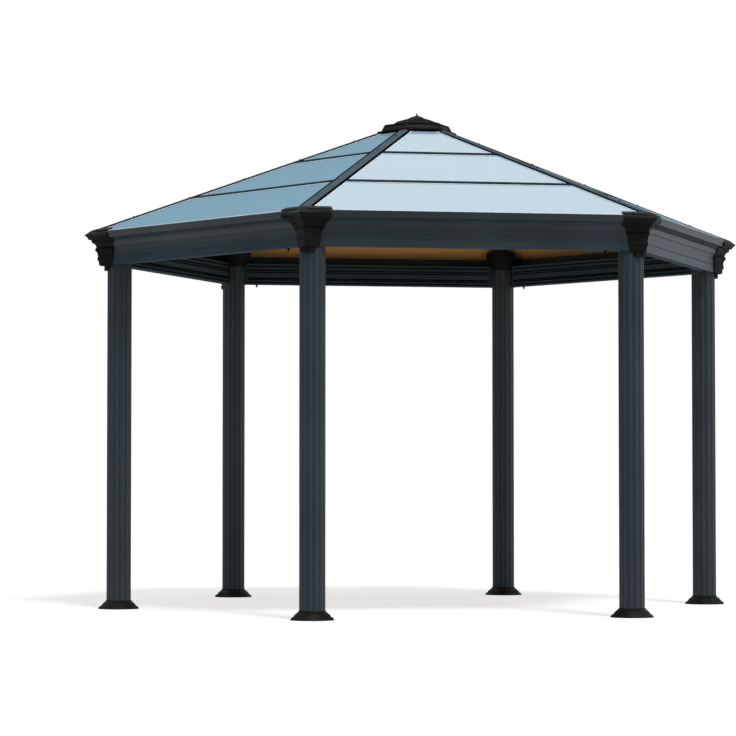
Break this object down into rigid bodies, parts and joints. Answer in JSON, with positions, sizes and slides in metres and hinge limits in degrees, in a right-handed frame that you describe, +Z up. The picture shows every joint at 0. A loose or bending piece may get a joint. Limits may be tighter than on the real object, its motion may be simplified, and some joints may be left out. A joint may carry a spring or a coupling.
{
  "type": "hexagonal aluminium pavilion",
  "caption": "Open hexagonal pavilion with fluted posts, moulded eave beams, a low pitched sheeted roof and a stepped crown, for shade and shelter outdoors",
  "frame": {"origin": "on the ground under the crown, in the middle of the six posts", "axes": "+Z up, +X from the middle to one post, so that the six posts stand at 0, 60, 120, 180, 240 and 300 degrees about +Z, and the front bay of the picture faces -Y"},
  "size_m": [4.3562, 3.7726, 3.2297],
  "materials": {
    "powder_coated_slate": "fine textured powder coat in dark slate grey, satin",
    "black_brown_moulding": "moulded in black brown, low sheen with soft highlights on the steps",
    "twin_wall_sheet": "smooth sheet, silvery pale blue on top and bronze tinted below",
    "galvanised_steel": "zinc coated, dull grey with faint spangle"
  },
  "bodies": {
    "root": {"post_1": "powder_coated_slate", "foot_cover_1": "black_brown_moulding", "corner_cap_1": "black_brown_moulding", "hip_rafter_1": "powder_coated_slate", "eave_beam_1": "powder_coated_slate", "roof_panels_1": "twin_wall_sheet", "post_2": "powder_coated_slate", "foot_cover_2": "black_brown_moulding", "corner_cap_2": "black_brown_moulding", "hip_rafter_2": "powder_coated_slate", "eave_beam_2": "powder_coated_slate", "roof_panels_2": "twin_wall_sheet", "post_3": "powder_coated_slate", "foot_cover_3": "black_brown_moulding", "corner_cap_3": "black_brown_moulding", "hip_rafter_3": "powder_coated_slate", "eave_beam_3": "powder_coated_slate", "roof_panels_3": "twin_wall_sheet", "post_4": "powder_coated_slate", "foot_cover_4": "black_brown_moulding", "corner_cap_4": "black_brown_moulding", "hip_rafter_4": "powder_coated_slate", "eave_beam_4": "powder_coated_slate", "roof_panels_4": "twin_wall_sheet", "post_5": "powder_coated_slate", "foot_cover_5": "black_brown_moulding", "corner_cap_5": "black_brown_moulding", "hip_rafter_5": "powder_coated_slate", "eave_beam_5": "powder_coated_slate", "roof_panels_5": "twin_wall_sheet", "post_6": "powder_coated_slate", "foot_cover_6": "black_brown_moulding", "corner_cap_6": "black_brown_moulding", "hip_rafter_6": "powder_coated_slate", "eave_beam_6": "powder_coated_slate", "roof_panels_6": "twin_wall_sheet", "base_plates": "galvanised_steel", "head_brackets": "black_brown_moulding", "hip_caps": "powder_coated_slate", "purlins": "powder_coated_slate", "roof_hub": "black_brown_moulding", "crown_lower_tier": "black_brown_moulding", "crown_middle_tier": "black_brown_moulding", "crown_upper_tier": "black_brown_moulding", "drain_spouts": "black_brown_moulding"}
  },
  "joints": []
}
